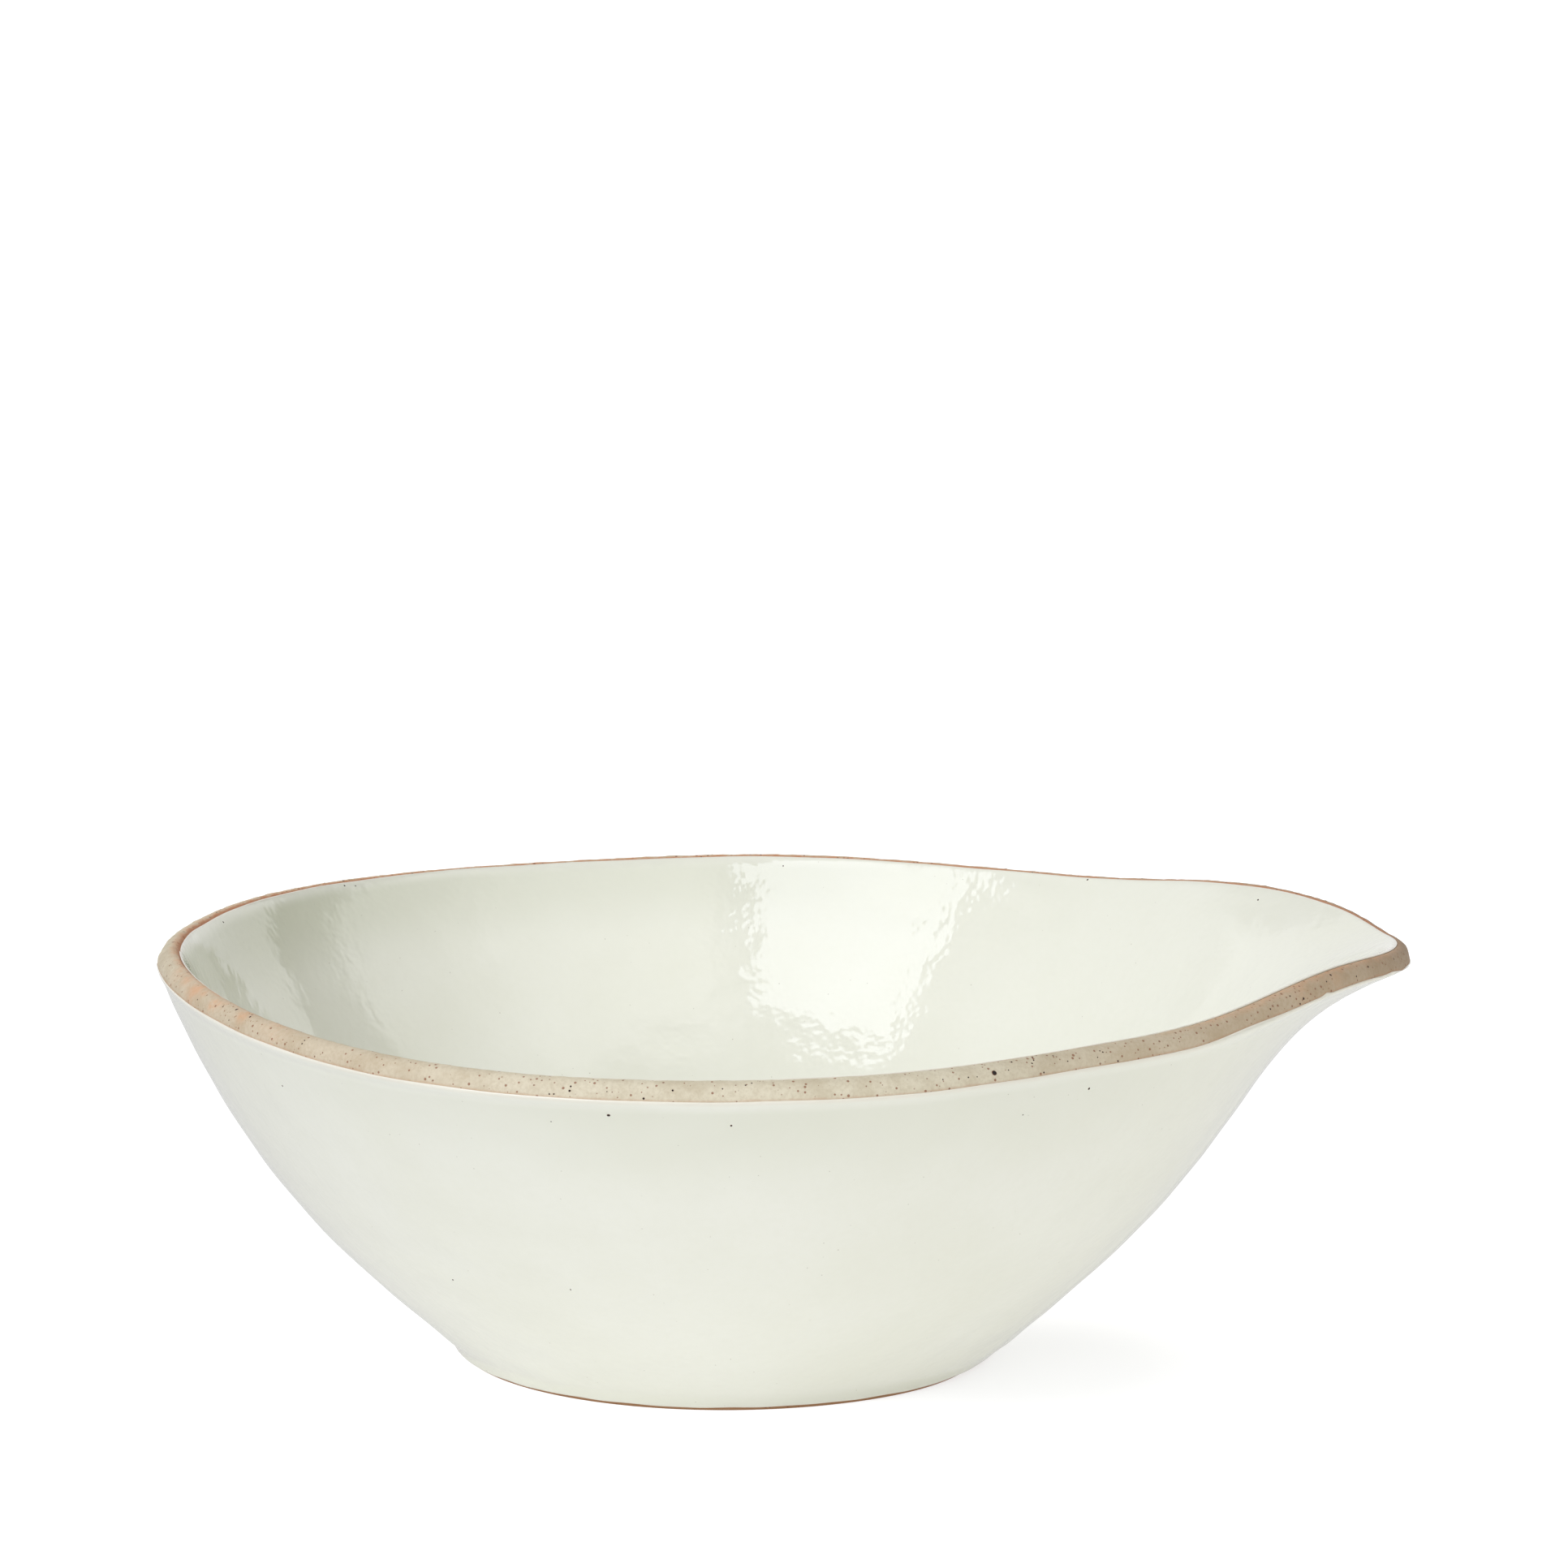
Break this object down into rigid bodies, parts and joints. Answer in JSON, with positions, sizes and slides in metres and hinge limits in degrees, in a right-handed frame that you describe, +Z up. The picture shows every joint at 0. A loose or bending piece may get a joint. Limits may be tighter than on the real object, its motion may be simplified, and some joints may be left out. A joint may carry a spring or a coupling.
{
  "type": "salad bowl",
  "caption": "Stoneware salad bowl with a pulled pouring spout, pale celadon glaze inside and out, a bare speckled clay rim and a short bare foot ring",
  "frame": {"origin": "on the surface that the foot ring stands on, under the middle of the bowl's length and width", "axes": "+X towards the spout, +Z up; the bowl is a mirror image of itself across the XZ plane"},
  "size_m": [0.3082, 0.281, 0.1031],
  "materials": {
    "bare_clay": "matt unglazed speckled stoneware, rim and foot",
    "inside_glaze": "glossy pale celadon glaze with faint ripples",
    "outside_glaze": "glossy off-white celadon glaze with small iron specks",
    "base_glaze": "glossy off-white glaze under the base"
  },
  "bodies": {
    "root": {"stoneware_body": "bare_clay", "inside_glaze": "inside_glaze", "outside_glaze": "outside_glaze", "base_glaze": "base_glaze"}
  },
  "joints": []
}
